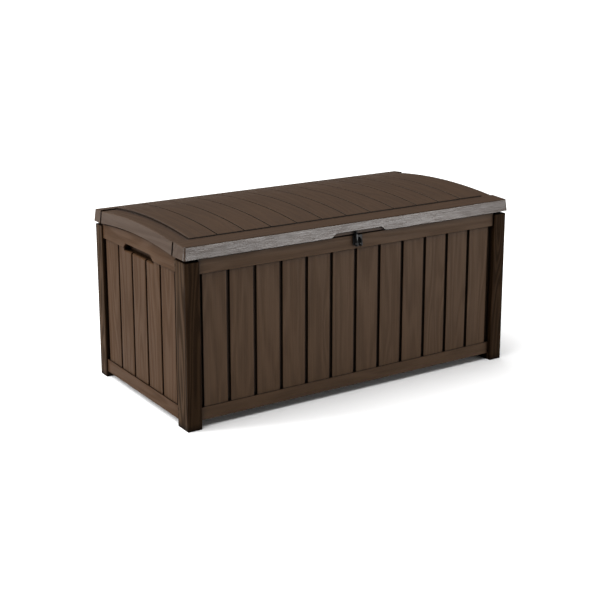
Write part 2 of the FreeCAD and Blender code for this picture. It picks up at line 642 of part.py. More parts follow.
def lid_shell():
    body = new_body("lid_shell")
    lid_outside(body)
    lid_hollow(body)
    lid_end_faces(body)
    lid_scoop(body)
    lid_plank_grooves(body)
    return body


def lid_liner():
    """Inner pan of the lid: a ribbed plate with an upstand that meets the shell."""
    body = new_body("lid_liner")
    outer = new_sketch(body, "liner_outer", "XY_Plane", "liner_bottom")
    rectangle(outer, "0 - liner_half_length", "liner_half_length", "0 - liner_half_depth", "liner_half_depth")
    pad(body, outer, "lid_inner - liner_bottom")
    pan = new_sketch(body, "liner_pan", "XY_Plane", "liner_bottom + liner_plate")
    rectangle(pan, "3 - liner_half_length", "liner_half_length - 3", "3 - liner_half_depth",
              "liner_half_depth - 3")
    pocket(body, pan, "40", reverse=True)
    field = new_sketch(body, "liner_field", "XY_Plane", "liner_bottom")
    columns = 4
    for column in range(columns):
        left = "(40 - liner_half_length + %d * (2 * liner_half_length - 70) / %d)" % (column, columns)
        rectangle(field, left, left + " + (2 * liner_half_length - 70) / %d - 10" % columns,
                  "40 - liner_half_depth", "liner_half_depth - 90")
    pocket(body, field, "1.5", reverse=True)
    notch = new_sketch(body, "liner_scoop_notch", "XY_Plane", "liner_bottom")
    rectangle(notch, "0 - scoop_half_wide - 9", "scoop_half_wide + 9",
              "0 - liner_half_depth - 1", "scoop_depth + wall + 2 - lid_half_depth")
    pocket(body, notch, "lid_inner - liner_bottom", reverse=True)
    return body


# ---------------------------------------------------------------- hinges
def block(label, left, right, front, back, low, high):
    """Box between six driven planes."""
    box = doc.addObject("Part::Box", label)
    box.setExpression("Length", bound("%s - (%s)" % (right, left)))
    box.setExpression("Width", bound("%s - (%s)" % (back, front)))
    box.setExpression("Height", bound("%s - (%s)" % (high, low)))
    box.setExpression("Placement.Base.x", bound(left))
    box.setExpression("Placement.Base.y", bound(front))
    box.setExpression("Placement.Base.z", bound(low))
    return box


def drum(label, radius, left, right, y_text, z_text):
    """Cylinder along X between two driven planes."""
    rod = doc.addObject("Part::Cylinder", label)
    rod.setExpression("Radius", bound(radius))
    rod.setExpression("Height", bound("%s - (%s)" % (right, left)))
    rod.Placement = Placement(Vector(0, 0, 0), Rotation(Vector(0, 1, 0), 90))
    rod.setExpression("Placement.Base.x", bound(left))
    rod.setExpression("Placement.Base.y", bound(y_text))
    rod.setExpression("Placement.Base.z", bound(z_text))
    return rod


def join(label, pieces):
    whole = doc.addObject("Part::MultiFuse", label)
    whole.Shapes = pieces
    whole.Refine = True
    return whole


def take(label, base, tool):
    rest = doc.addObject("Part::Cut", label)
    rest.Base = base
    rest.Tool = tool
    rest.Label = label
    return rest


def hinge(number, place):
    """One hinge: a leaf on the rear rail, a leaf inside the lid rail, and their pin."""
    name = "hinge_%d" % number
    x_low = "(%s - hinge_half)" % place
    x_high = "(%s + hinge_half)" % place
    inner = "(knuckle_half + 0.5)"
    fixed = [
        block(name + "_leaf", x_low, x_high, LONG_FACE, LONG_FACE + " + hinge_leaf",
              "hinge_z - 38", "hinge_z - 9"),
    ]
    for side, left, right in (("a", x_low, "(%s - %s)" % (place, inner)),
                              ("b", "(%s + %s)" % (place, inner), x_high)):
        fixed.append(block(name + "_web_" + side, left, right, LONG_FACE + " + 1",
                           LONG_FACE + " + 1 + hinge_leaf", "hinge_z - 10", "hinge_z"))
        fixed.append(drum(name + "_knuckle_" + side, "barrel_radius", left, right, "hinge_y", "hinge_z"))
    base = take("hinge_base_%d" % number, join(name + "_base_solid", fixed),
                drum(name + "_base_bore", "pin_radius + hinge_fit", x_low + " - 1", x_high + " + 1",
                     "hinge_y", "hinge_z"))
    moving = [
        block(name + "_flap", x_low, x_high, "lid_half_depth - 2 * lid_draft - hinge_leaf",
              "lid_half_depth - 2 * lid_draft", "lid_bottom + 1", "liner_bottom + 20"),
        block(name + "_flap_web", place + " - knuckle_half", place + " + knuckle_half",
              "lid_half_depth - 2 * lid_draft - hinge_leaf", "lid_half_depth - 2 * lid_draft",
              "hinge_z", "lid_bottom + 2"),
        drum(name + "_middle", "barrel_radius", place + " - knuckle_half", place + " + knuckle_half",
             "hinge_y", "hinge_z"),
    ]
    arm = take("hinge_arm_%d" % number, join(name + "_arm_solid", moving),
               drum(name + "_arm_bore", "pin_radius + hinge_fit", x_low + " - 1", x_high + " + 1",
                    "hinge_y", "hinge_z"))
    pin = drum("hinge_pin_%d" % number, "pin_radius", x_low, x_high, "hinge_y", "hinge_z")
    pin.Label = "hinge_pin_%d" % number
    return [base, arm, pin]


# ---------------------------------------------------------------- gas struts
def along(label, radius_text, start, length, at_y, at_z, angle, x_text):
    """Cylinder along the strut's line, starting a distance up from its lower pivot."""
    rod = doc.addObject("Part::Cylinder", label)
    rod.setExpression("Radius", bound(radius_text))
    rod.Height = length
    line = Vector(0, math.cos(angle), math.sin(angle))
    spot = Vector(size(x_text), at_y, at_z) + line * start
    rod.Placement = Placement(spot, Rotation(Vector(0, 0, 1), line))
    return rod


def ball(label, radius_text, x_text, y_text, z_text):
    globe = doc.addObject("Part::Sphere", label)
    globe.setExpression("Radius", bound(radius_text))
    globe.Placement = Placement(Vector(0, 0, 0), Rotation(Vector(0, 0, 1), 90))
    globe.setExpression("Placement.Base.x", bound(x_text))
    globe.setExpression("Placement.Base.y", bound(y_text))
    globe.setExpression("Placement.Base.z", bound(z_text))
    return globe


def strut(side_name, sign):
    """One gas strut from the side panel to the lid, with its sockets and brackets."""
    low_y, low_z = size("strut_low_y"), size("strut_low_z")
    run = Vector(0, size("strut_high_y") - low_y, size("strut_high_z") - low_z)
    angle = math.atan2(run.z, run.y)
    centre = "%d * strut_x" % sign
    made = []

    def name(text):
        return "%s_%s" % (side_name, text)

    def piece(text, length_radius, start, length):
        return along(name(text), length_radius, start, length, low_y, low_z, angle, centre)

    tube_start, tube_length = 14, 140
    shell = piece("tube_outer", "tube_radius", tube_start, tube_length)
    bore = piece("tube_inner", "tube_radius - 1.5", tube_start + 4, tube_length)
    made.append(take(name("strut_tube"), shell, bore))

    gland_start = tube_start + tube_length - 12
    gland = piece("gland_outer", "tube_radius - 1.55", gland_start, 12)
    cap = piece("gland_cap", "tube_radius", gland_start + 12, 3)
    hole = piece("gland_hole", "rod_radius + 0.06", gland_start - 1, 20)
    made.append(take(name("strut_gland"), join(name("gland_solid"), [gland, cap]), hole))

    rod = piece("rod_shaft", "rod_radius", tube_start + 8, run.Length - tube_start - 14)
    piston = piece("rod_piston", "tube_radius - 1.6", tube_start + 10, 8)
    whole_rod = join(name("strut_rod"), [rod, piston])
    whole_rod.Label = name("strut_rod")
    made.append(whole_rod)

    half = "(ball_radius + 1.5)"
    ends = (("lower", "strut_low_y", "strut_low_z", 4, tube_start - 4),
            ("upper", "strut_high_y", "strut_high_z", run.Length - 18, 14))
    for end, y_text, z_text, neck_start, neck_length in ends:
        head = drum(name(end + "_head"), "socket_radius", "%s - %s" % (centre, half),
                    "%s + %s" % (centre, half), y_text, z_text)
        neck = piece(end + "_neck", "socket_radius - 1.5", neck_start, neck_length)
        cup = join(name(end + "_cup"), [head, neck])
        hollow = ball(name(end + "_hollow"), "ball_radius + ball_fit", centre, y_text, z_text)
        mouth_low = centre if sign > 0 else "%s - %s - 1" % (centre, half)
        mouth_high = "%s + %s + 1" % (centre, half) if sign > 0 else centre
        mouth = drum(name(end + "_mouth"), "rod_radius + 0.5", mouth_low, mouth_high, y_text, z_text)
        cavity = [hollow, mouth]
        if end == "upper":
            cavity.append(piece("upper_rod_hole", "rod_radius", run.Length - 30, 24.0))
        made.append(take(name("strut_%s_socket" % end), cup, join(name(end + "_space"), cavity)))
    made.extend(strut_brackets(name, sign, centre))
    return made


def strut_brackets(name, sign, centre):
    """Panel plate with its ball stud, the loose upper ball stud, and the lid bracket."""
    wall_x = "%d * %s" % (sign, SIDE_INSIDE)
    plate_x = "%d * (%s - bracket_plate)" % (sign, SIDE_INSIDE)
    lid_near = "%d * (strut_x + ball_radius + 3)" % sign
    lid_far = "%d * (strut_x + ball_radius + 3 + bracket_plate)" % sign
    tip = "%d * (strut_x + ball_radius + 3 - strut_gap)" % sign
    foot = "%d * (strut_x - 16)" % sign

    def ordered(a, b):
        return (a, b) if sign > 0 else (b, a)

    low, high = ordered(plate_x, wall_x)
    plate = block(name("panel_plate"), low, high, "strut_low_y - 17", "strut_low_y + 17",
                  "strut_low_z - 17", "strut_low_z + 17")
    low, high = ordered(centre, plate_x)
    stud = drum(name("panel_stud"), "rod_radius - 0.6", low, high, "strut_low_y", "strut_low_z")
    globe = ball(name("panel_ball"), "ball_radius", centre, "strut_low_y", "strut_low_z")
    panel_bracket = join(name("strut_panel_bracket"), [plate, stud, globe])
    panel_bracket.Label = name("strut_panel_bracket")

    low, high = ordered(centre, tip)
    neck = drum(name("lid_stud"), "rod_radius - 0.6", low, high, "strut_high_y", "strut_high_z")
    globe = ball(name("lid_ball"), "ball_radius", centre, "strut_high_y", "strut_high_z")
    upper_stud = join(name("strut_upper_stud"), [neck, globe])
    upper_stud.Label = name("strut_upper_stud")

    low, high = ordered(lid_near, lid_far)
    cheek = block(name("lid_cheek"), low, high, "strut_high_y - 15", "strut_high_y + 8",
                  "strut_high_z - 9", "liner_bottom")
    low, high = ordered(foot, lid_far)
    flange = block(name("lid_flange"), low, high, "strut_high_y - 15", "strut_high_y + 15",
                   "liner_bottom - 2.5", "liner_bottom")
    lid_bracket = join(name("strut_lid_bracket"), [cheek, flange])
    lid_bracket.Label = name("strut_lid_bracket")
    return [panel_bracket, upper_stud, lid_bracket]


# ---------------------------------------------------------------- lock
def lock_bracket():
    """Black plate on the front rail with an upright slot and a padlock eye."""
    body = new_body("lock_bracket")
    plate = new_sketch(body, "lock_plate_face", "XZ_Plane", LONG_FACE)
    outline(plate, [
        ("5 - lock_half_width", "lock_bottom + 4"), ("2", "lock_bottom + 4"), ("5", "lock_bottom"),
        ("lock_half_width - 3", "lock_bottom"), ("lock_half_width", "lock_bottom + 4"),
        ("lock_half_width", "body_top - 2"), ("0", "body_top - 2"), ("0", "body_top - 17"),
        ("0 - 8", "body_top - 17"), ("0 - 8", "body_top - 2"), ("0 - lock_half_width", "body_top - 2"),
        ("0 - lock_half_width", "lock_bottom + 9"),
    ])
    pad(body, plate, "lock_plate")
    eye = new_sketch(body, "lock_eye", "YZ_Plane", "4")
    outline(eye, [
        ("1 - %s - lock_plate" % LONG_FACE, "lock_bottom + 1"),
        ("1 - %s - lock_plate" % LONG_FACE, "body_top - 8"),
        ("0 - %s - lock_reach - 2" % LONG_FACE, "body_top - 14"),
        ("0 - %s - lock_reach - 5" % LONG_FACE, "lock_hole_z + 5"),
        ("0 - %s - lock_reach - 5" % LONG_FACE, "lock_hole_z - 4"),
        ("0 - %s - lock_reach - 1" % LONG_FACE, "lock_bottom + 1"),
    ])
    pad(body, eye, "4")
    hole = new_sketch(body, "lock_eye_hole", "YZ_Plane", "3")
    circle(hole, "0 - %s - lock_reach + 1" % LONG_FACE, "lock_hole_z", "lock_hole_radius")
    pocket(body, hole, "6", reverse=True)
    return body


def lock_tongue():
    """Black strap on the lid: it hangs beside the padlock eye when the lid is shut."""
    body = new_body("lock_tongue")
    strap = new_sketch(body, "tongue_side", "YZ_Plane", "0 - 13")
    outline(strap, [
        ("0 - %s - lock_plate - 1.2" % LONG_FACE, "lock_bottom + 2"),
        ("0 - %s - lock_plate - 1.2" % LONG_FACE, "lid_bottom"),
        ("scoop_depth - lid_half_depth", "lid_bottom + 2"),
        ("scoop_depth - lid_half_depth", "scoop_top - 1"),
        ("scoop_depth - lid_half_depth - 5", "scoop_top - 1"),
        ("0 - %s - lock_reach" % LONG_FACE, "lid_bottom"),
        ("0 - %s - lock_reach - 2" % LONG_FACE, "body_top - 14"),
        ("0 - %s - lock_reach - 5" % LONG_FACE, "lock_hole_z + 5"),
        ("0 - %s - lock_reach - 5" % LONG_FACE, "lock_hole_z - 4"),
        ("0 - %s - lock_reach - 2" % LONG_FACE, "lock_bottom + 2"),
    ])
    pad(body, strap, "4")
    hole = new_sketch(body, "tongue_hole", "YZ_Plane", "0 - 14")
    circle(hole, "0 - %s - lock_reach + 1" % LONG_FACE, "lock_hole_z", "lock_hole_radius + 1")
    pocket(body, hole, "6", reverse=True)
    return body


# ---------------------------------------------------------------- screws
def screw(point, inward, head_radius, shank):
    """Cross-head screw: a domed head standing on the surface and a shank going in."""
    inward = Vector(inward).normalize()
    head_height = head_radius * 0.55
    outward = inward * -1
    head = Part.makeCylinder(head_radius, head_height, point, outward)
    rim = [e for e in head.Edges
           if e.CenterOfMass.distanceToPoint(point + outward * head_height) < 0.01]
    head = head.makeFillet(head_height * 0.6, rim)
    body = head.fuse(Part.makeCylinder(head_radius * 0.45, shank, point, inward))
    turn = Rotation(Vector(0, 0, 1), outward)
    for spin in (0, 90):
        slot = Part.makeBox(head_radius * 1.1, head_radius * 0.24, head_height,
                            Vector(-head_radius * 0.55, -head_radius * 0.12, head_height * 0.45))
        slot.Placement = Placement(point, turn).multiply(
            Placement(Vector(0, 0, 0), Rotation(Vector(0, 0, 1), spin)))
        body = body.cut(slot)
    return body


def screw_group(label, points, inward, head_radius, shank):
    group = doc.addObject("Part::Feature", label)
    group.Shape = Part.makeCompound([screw(Vector(*p), inward, head_radius, shank) for p in points])
    group.Label = label
    return group


def screw_groups():
    places = [-size("hinge_spacing"), 0, size("hinge_spacing")]
    leaf_y = size(LONG_FACE + " + hinge_leaf")
    flap_y = size("lid_half_depth - 2 * lid_draft - hinge_leaf")
    leaf_z = size("hinge_z") - 24
    flap_z = size("lid_bottom") + 18
    plate_x = size(SIDE_INSIDE + " - bracket_plate")
    low_y, low_z = size("strut_low_y"), size("strut_low_z")
    high_y = size("strut_high_y")
    flange_z = size("liner_bottom") - 2.5
    lid_bracket_x = size("strut_x") - 11
    liner_z = size("liner_bottom")
    groups = [
        screw_group("hinge_base_screws", [(x + dx, leaf_y, leaf_z) for x in places for dx in (-22, 0, 22)],
                    (0, -1, 0), 4, 5),
        screw_group("hinge_arm_screws", [(x + dx, flap_y, flap_z) for x in places for dx in (-24, 24)],
                    (0, 1, 0), 3.6, 5),
        screw_group("liner_screws", [(x, y, liner_z) for x in (-560, -280, 0, 280, 560)
                                     for y in (-296, 296)], (0, 0, 1), 3.6, 3),
    ]
    for side_name, sign in (("left", -1), ("right", 1)):
        groups.append(screw_group(
            side_name + "_panel_bracket_screws",
            [(sign * plate_x, low_y + dy, low_z + dz) for dy, dz in ((-12, -12), (12, 12))],
            (sign, 0, 0), 3, 6))
        groups.append(screw_group(
            side_name + "_lid_bracket_screws",
            [(sign * lid_bracket_x, high_y + dy, flange_z) for dy in (-9, 9)], (0, 0, 1), 3, 5.5))
    return groups


# ---------------------------------------------------------------- build, check, write
def build():
    parts = [long_panel("front_panel")]
    rear = long_panel("rear_panel")
    rear.Placement = Placement(Vector(0, 0, 0), Rotation(Vector(0, 0, 1), 180))
    parts.append(rear)
    parts.extend(side_panels())
    parts.append(floor_half("floor_right", 0))
    parts.append(floor_half("floor_left", 180))
    parts.append(floor_joint())
    parts.append(lid_shell())
    parts.append(lid_liner())
    for number, place in enumerate(("(0 - hinge_spacing)", "0", "hinge_spacing"), start=1):
        parts.extend(hinge(number, place))
    left_strut = strut("left", -1)
    parts.extend(left_strut)
    parts.extend(mirrored(piece) for piece in left_strut)
    parts.append(lock_bracket())
    parts.append(lock_tongue())
    doc.recompute()
    parts.extend(screw_groups())
    doc.recompute()
    return parts


def check(parts):
    for item in doc.Objects:
        if "Invalid" in item.State or "Error" in item.State:
            raise ValueError("%s failed: %s" % (item.Label, item.State))
    for item in parts:
        if item.Shape.isNull() or not item.Shape.isValid():
            raise ValueError("%s has no valid shape" % item.Label)


def write(parts):
    os.makedirs("parts", exist_ok=True)
    for item in parts:
        item.Shape.exportStep("parts/%s.step" % item.Label)
        box = item.Shape.BoundBox
        print("%-30s %2d solids %9.1f cm3  x %7.1f %7.1f  y %7.1f %7.1f  z %6.1f %6.1f" % (
            item.Label, len(item.Shape.Solids), item.Shape.Volume / 1000,
            box.XMin, box.XMax, box.YMin, box.YMax, box.ZMin, box.ZMax))


made = build()
check(made)
write(made)
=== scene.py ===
"""Looks, floor, light and camera for the deck storage box."""

import math

import bpy
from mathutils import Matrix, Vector

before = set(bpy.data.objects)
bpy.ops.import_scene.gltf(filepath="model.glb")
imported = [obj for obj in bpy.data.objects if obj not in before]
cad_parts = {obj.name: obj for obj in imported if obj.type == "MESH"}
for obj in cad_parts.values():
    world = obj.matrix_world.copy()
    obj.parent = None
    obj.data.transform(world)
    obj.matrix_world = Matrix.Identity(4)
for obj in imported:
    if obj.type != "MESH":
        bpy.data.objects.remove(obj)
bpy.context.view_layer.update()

# Places on the box, in metres.
RAIL_TOP = 0.491        # where the top rails of the panels begin, above the floor
RAIL_FOOT = 0.065       # where the foot rails end
POST_INNER_Y = 0.262    # half the run of the side rails between the corner posts
FIELD_MIDDLE_Y = 0.009  # middle of the lid's planks, between its front and rear rails
FIELD_HALF_Y = 0.270    # half the length of those planks
EDGE_FADE = 0.002       # half the width over which a front face gives way to the rest

# The wood grain: how tightly each noise is packed across and along the grain.
RING_STRETCH = (17.0, 17.0, 1.7)
FIBRE_STRETCH = (520.0, 520.0, 9.0)
STREAK_STRETCH = (120.0, 120.0, 3.0)
STIPPLE_DEPTH = 0.00006
# How far the painted shade in grooves and gaps reaches for nearby surfaces, in metres.
GROOVE_SHADE_REACH = 0.024

# Colours of the resin, from dark to light, and the tones at which the ramp reaches them. The first colour
# is painted shade, near black, for the bottoms of grooves and gaps.
TONE_STOPS = (0.0, 0.20, 0.42, 0.74)
# Painted shade: the near-black colour of deep grooves and gaps.
GROOVE_SHADE = (0.003, 0.0015, 0.0008)
PANEL_TONES = ((0.030, 0.0160, 0.0078), (0.047, 0.0256, 0.0128), (0.070, 0.0392, 0.0205))
SIDE_TONES = ((0.034, 0.0172, 0.0082), (0.053, 0.0276, 0.0138), (0.078, 0.0420, 0.0220))
POST_TONES = ((0.012, 0.0060, 0.0026), (0.023, 0.0122, 0.0056), (0.046, 0.0256, 0.0130))
LID_TONES = ((0.027, 0.0140, 0.0070), (0.041, 0.0221, 0.0114), (0.060, 0.0335, 0.0180))

# Front faces that differ from the rest of their piece: factors, and the shine itself. Their tone factors
# paint shade: they make the front faces of the posts and of the lid darker than the rest of the same
# moulding.
# The posts' front faces: the tone factor paints shade on them, darker than the rest of the post.
POST_FRONT_SHADED = {"edge": -0.312, "tone": 0.50, "relief": 1.6, "shine": 0.02, "roughness": 1.0}
# The lid's front face: the tone factor paints shade on it, darker than the rest of the lid.
LID_FRONT_SHADED = {"edge": -0.316, "tone": 0.6, "relief": 8.0, "shine": 0.40, "roughness": 0.45}

# Studio: the surround's strength for light, and the camera.
SURROUND = 0.10
FLOOR_HALF = 60.0
CAMERA_PLACE = (-2.2845, -3.4697, 1.4809)
CAMERA_YAW = 0.5787     # radians, from +Y towards +X
CAMERA_PITCH = 0.2318   # radians, downwards
CAMERA_LENS = 74.05
CAMERA_SHIFT = -0.12


# ---------------------------------------------------------------- node helpers

def new_material(name):
    """A material with an empty Principled shader; returns it with its tree and shader."""
    material = bpy.data.materials.new(name)
    material.use_nodes = True
    tree = material.node_tree
    shader = tree.nodes["Principled BSDF"]
    return material, tree, shader


def maths(tree, operation, a, b=None):
    """A Math node; a and b are sockets or numbers."""
    node = tree.nodes.new("ShaderNodeMath")
    node.operation = operation
    for index, value in enumerate((a, b)):
        if value is None:
            continue
        if isinstance(value, (int, float)):
            node.inputs[index].default_value = value
        else:
            tree.links.new(value, node.inputs[index])
    return node.outputs[0]


def smooth(tree, value, low, high, out_low, out_high):
    """A clamped change from one number to another."""
    node = tree.nodes.new("ShaderNodeMapRange")
    tree.links.new(value, node.inputs["Value"])
    node.inputs["From Min"].default_value = low
    node.inputs["From Max"].default_value = high
    node.inputs["To Min"].default_value = out_low
    node.inputs["To Max"].default_value = out_high
    return node.outputs["Result"]


def step(tree, value, edge):
    """0 below the edge and 1 above it."""
    width = 0.001
    return smooth(tree, value, edge - width, edge + width, 0.0, 1.0)


def weighted(tree, parts):
    """The sum of (socket, weight) pairs."""
    total = None
    for socket, weight in parts:
        part = maths(tree, "MULTIPLY", socket, weight)
        total = part if total is None else maths(tree, "ADD", total, part)
    return total


def place(tree):
    """Object coordinates, which are metres in the part's own frame: whole, and their Y and Z."""
    coordinates = tree.nodes.new("ShaderNodeTexCoord")
    split = tree.nodes.new("ShaderNodeSeparateXYZ")
    tree.links.new(coordinates.outputs["Object"], split.inputs[0])
    return coordinates.outputs["Object"], split.outputs[1], split.outputs[2]


def stretched(tree, point, scale):
    """The point scaled differently along each axis."""
    node = tree.nodes.new("ShaderNodeMapping")
    tree.links.new(point, node.inputs["Vector"])
    node.inputs["Scale"].default_value = scale
    return node.outputs["Vector"]


def choose(tree, mask, first, second):
    """The first vector where the mask is 0, the second where it is 1."""
    node = tree.nodes.new("ShaderNodeMix")
    node.data_type = "VECTOR"
    tree.links.new(mask, node.inputs["Factor"])
    tree.links.new(first, node.inputs[4])
    tree.links.new(second, node.inputs[5])
    return node.outputs[1]


def noise(tree, vector, scale, detail=2.0, roughness=0.5, distortion=0.0):
    """A noise texture's value."""
    node = tree.nodes.new("ShaderNodeTexNoise")
    tree.links.new(vector, node.inputs["Vector"])
    node.inputs["Scale"].default_value = scale
    node.inputs["Detail"].default_value = detail
    node.inputs["Roughness"].default_value = roughness
    node.inputs["Distortion"].default_value = distortion
    return node.outputs["Fac"]


def ramp(tree, value, stops):
    """A colour ramp with (position, colour) stops."""
    node = tree.nodes.new("ShaderNodeValToRGB")
    tree.links.new(value, node.inputs["Fac"])
    elements = node.color_ramp.elements
    while len(elements) < len(stops):
        elements.new(0.5)
    for element, (position, colour) in zip(elements, stops):
        element.position = position
        element.color = (*colour, 1.0)
    return node.outputs["Color"]


def bump(tree, height, distance, under=None):
    """A bump node over another one."""
    node = tree.nodes.new("ShaderNodeBump")
    tree.links.new(height, node.inputs["Height"])
    node.inputs["Distance"].default_value = distance
    node.inputs["Strength"].default_value = 1.0
    if under is not None:
        tree.links.new(under, node.inputs["Normal"])
    return node.outputs["Normal"]


def crevice_shade(tree):
    """Painted shade: near 0 deep in narrow gaps and grooves, where shade falls, and 1 in the open."""
    node = tree.nodes.new("ShaderNodeAmbientOcclusion")
    node.samples = 6
    node.inputs["Distance"].default_value = GROOVE_SHADE_REACH
    return smooth(tree, node.outputs["AO"], 0.56, 0.97, 0.0, 1.0)


# ---------------------------------------------------------------- moulded wood grain

def turned(tree, point, along):
    """The point with the named axis brought to Z."""
    split = tree.nodes.new("ShaderNodeSeparateXYZ")
    tree.links.new(point, split.inputs[0])
    joined = tree.nodes.new("ShaderNodeCombineXYZ")
    order = {"X": (1, 2, 0), "Y": (0, 2, 1)}[along]
    for target, source in enumerate(order):
        tree.links.new(split.outputs[source], joined.inputs[target])
    return joined.outputs[0]


def lid_grain_space(tree, point, y):
    """Grain along Z after turning: front to back on the lid's planks, left to right on its rails."""
    from_middle = maths(tree, "ABSOLUTE", maths(tree, "SUBTRACT", y, FIELD_MIDDLE_Y))
    in_rail = step(tree, from_middle, FIELD_HALF_Y)
    return choose(tree, in_rail, turned(tree, point, "Y"), turned(tree, point, "X"))


def panel_grain_space(tree, point, y, z, along_rails, sides):
    """Grain along Z after turning: upright on slats and posts, level on the rails."""
    in_rail = maths(tree, "MAXIMUM", step(tree, z, RAIL_TOP),
                    maths(tree, "SUBTRACT", 1.0, step(tree, z, RAIL_FOOT)))
    if sides:
        between = maths(tree, "SUBTRACT", 1.0, step(tree, maths(tree, "ABSOLUTE", y), POST_INNER_Y))
        in_rail = maths(tree, "MULTIPLY", in_rail, between)
    return choose(tree, in_rail, point, turned(tree, point, along_rails))


def grain(tree, point, figure, rings):
    """Embossed growth rings with pointed arches, and fine fibres and streaks; all run from 0 to 1."""
    broad = noise(tree, stretched(tree, point, RING_STRETCH), 1.0, 1.2, 0.35, 0.25)
    waves = maths(tree, "SINE", maths(tree, "MULTIPLY", broad, rings))
    ring = smooth(tree, waves, -0.75, 0.85, 0.0, figure)
    fibre = noise(tree, stretched(tree, point, FIBRE_STRETCH), 1.0, 2.0, 0.6)
    streak = noise(tree, stretched(tree, point, STREAK_STRETCH), 1.0, 2.0, 0.55)
    return ring, fibre, streak


def at_front(tree, y, front, quality, behind=1.0):
    """One quality of the front face, which gives way to another number behind the face's edge."""
    return smooth(tree, y, front["edge"] - EDGE_FADE, front["edge"] + EDGE_FADE, front[quality], behind)


def moulded_resin(name, tones, along_rails="X", sides=False, lid=False, relief=0.00030, gloss=(0.40, 0.58),
                  rings=42.0, figure=1.0, shine=0.09, ring_tone=0.10, front=None):
    """Dark satin resin moulded with a wood grain; front holds the factors of a front face, whose tone
    factor paints shade on that face.
    """
    material, tree, shader = new_material(name)
    place_in_part, y, z = place(tree)
    if lid:
        point = lid_grain_space(tree, place_in_part, y)
    else:
        point = panel_grain_space(tree, place_in_part, y, z, along_rails, sides)
    ring, fibre, streak = grain(tree, point, figure, rings)

    cloud = noise(tree, place_in_part, 5.0, 3.0, 0.5)
    tone = weighted(tree, [(ring, ring_tone), (streak, 0.22), (fibre, 0.30), (cloud, 0.20)])
    # Painted shade: darkens the tone towards the near-black colour deep in grooves and gaps.
    tone = maths(tree, "MULTIPLY", tone, crevice_shade(tree))
    rough = smooth(tree, weighted(tree, [(fibre, 0.6), (ring, 0.4)]), 0.15, 0.8, gloss[1], gloss[0])
    height = weighted(tree, [(ring, 0.75), (fibre, 0.35)])
    shader.inputs["Specular IOR Level"].default_value = shine
    if front:
        # A front face's tone factor darkens it: painted shade.
        tone = maths(tree, "MULTIPLY", tone, at_front(tree, y, front, "tone"))
        rough = maths(tree, "MULTIPLY", rough, at_front(tree, y, front, "roughness"))
        height = maths(tree, "MULTIPLY", height, at_front(tree, y, front, "relief"))
        tree.links.new(at_front(tree, y, front, "shine", shine), shader.inputs["Specular IOR Level"])

    stops = zip(TONE_STOPS, (GROOVE_SHADE, *tones))
    tree.links.new(ramp(tree, tone, list(stops)), shader.inputs["Base Color"])
    tree.links.new(rough, shader.inputs["Roughness"])
    stipple = bump(tree, noise(tree, place_in_part, 900.0, 2.0, 0.5), STIPPLE_DEPTH)
    tree.links.new(bump(tree, height, relief, stipple), shader.inputs["Normal"])
    return material


def plain_resin(name, dark, light, gloss, stipple_size, relief, rough_spread=0.08, shine=0.3):
    """Moulded plastic with a fine stipple and slow changes of tone."""
    material, tree, shader = new_material(name)
    point = place(tree)[0]
    cloud = noise(tree, point, 9.0, 3.0, 0.55)
    speck = noise(tree, point, stipple_size, 2.0, 0.6)
    tone = weighted(tree, [(cloud, 0.65), (speck, 0.35)])
    tree.links.new(ramp(tree, tone, [(0.32, dark), (0.68, light)]), shader.inputs["Base Color"])
    tree.links.new(smooth(tree, tone, 0.3, 0.7, gloss + rough_spread, gloss - rough_spread),
                   shader.inputs["Roughness"])
    tree.links.new(bump(tree, speck, relief), shader.inputs["Normal"])
    shader.inputs["Specular IOR Level"].default_value = shine
    return material


def brushed_metal(name, dark, light, gloss, along, relief=0.00004):
    """Metal with fine marks that run along one axis."""
    material, tree, shader = new_material(name)
    point = place(tree)[0]
    scale = {"X": (12.0, 900.0, 900.0), "Y": (900.0, 12.0, 900.0), "Z": (900.0, 900.0, 12.0)}[along]
    marks = noise(tree, stretched(tree, point, scale), 1.0, 2.0, 0.5)
    cloud = noise(tree, point, 60.0, 3.0, 0.6)
    tone = weighted(tree, [(marks, 0.5), (cloud, 0.5)])
    tree.links.new(ramp(tree, tone, [(0.3, dark), (0.7, light)]), shader.inputs["Base Color"])
    tree.links.new(smooth(tree, tone, 0.3, 0.7, gloss + 0.08, gloss - 0.06), shader.inputs["Roughness"])
    tree.links.new(bump(tree, marks, relief), shader.inputs["Normal"])
    shader.inputs["Metallic"].default_value = 1.0
    return material


long_resin = moulded_resin("resin_long", PANEL_TONES)
side_resin = moulded_resin("resin_side", SIDE_TONES, "Y", sides=True, shine=0.03)
post_resin = moulded_resin("resin_post", POST_TONES, "Y", sides=True, relief=0.00055, gloss=(0.52, 0.68),
                           shine=0.03, rings=60.0, ring_tone=0.34, front=POST_FRONT_SHADED)
lid_resin = moulded_resin("resin_lid", LID_TONES, lid=True, relief=0.00014, gloss=(0.46, 0.60),
                          figure=0.8, shine=0.20, front=LID_FRONT_SHADED)
inner_resin = plain_resin("resin_inner", (0.022, 0.0145, 0.0105), (0.045, 0.030, 0.022),
                          0.55, 700.0, 0.00008)
hinge_resin = plain_resin("resin_hinge", (0.020, 0.0135, 0.0098), (0.038, 0.026, 0.019),
                          0.45, 900.0, 0.00006)
lock_plastic = plain_resin("plastic_lock", (0.0025, 0.0025, 0.0027), (0.008, 0.008, 0.0085),
                           0.34, 1400.0, 0.00003,
                            shine=0.2)
socket_plastic = plain_resin("plastic_socket", (0.008, 0.008, 0.009), (0.022, 0.022, 0.023),
                             0.42, 1200.0, 0.00004)
strut_paint = plain_resin("paint_strut", (0.007, 0.007, 0.008), (0.014, 0.014, 0.015),
                          0.30, 1600.0, 0.00003)
rod_chrome = brushed_metal("chrome_rod", (0.62, 0.63, 0.65), (0.80, 0.81, 0.83), 0.14, "Z", 0.00001)
